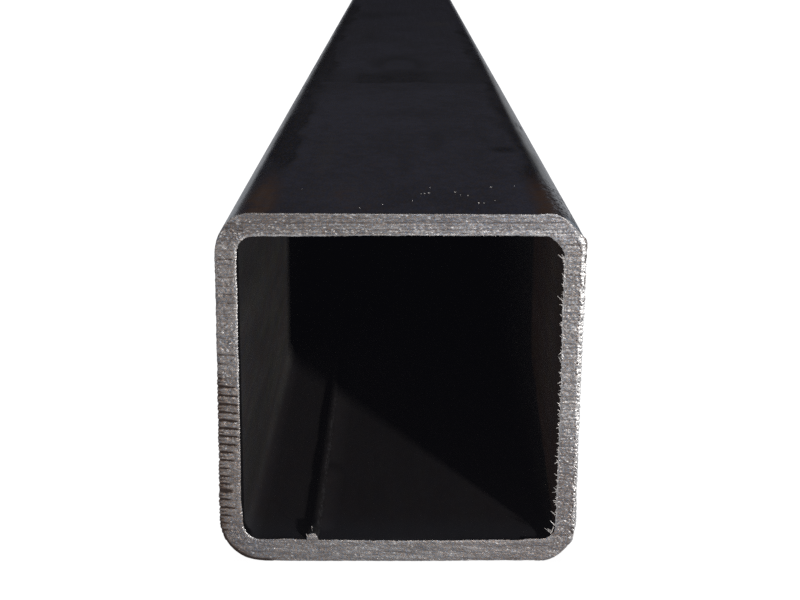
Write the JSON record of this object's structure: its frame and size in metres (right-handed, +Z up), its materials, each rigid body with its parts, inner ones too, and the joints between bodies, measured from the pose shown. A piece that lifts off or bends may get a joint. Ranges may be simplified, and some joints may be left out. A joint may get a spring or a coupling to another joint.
{
  "type": "square metal tube",
  "caption": "Length of square hollow steel section with rounded corners, a weld seam inside and sawn open ends, used for frames, posts, rails and brackets.",
  "frame": {"origin": "middle of the lower flat, at floor level: centre of the length and of the width", "axes": "+Y along the length, the end at -Y being the one the picture looks into; +Z up from the flat it lies on; +X across, to the right when looking along +Y"},
  "size_m": [0.05, 1, 0.05],
  "materials": {
    "mill_steel": "satin"
  },
  "bodies": {
    "root": {"square_tube": "mill_steel"}
  },
  "joints": []
}
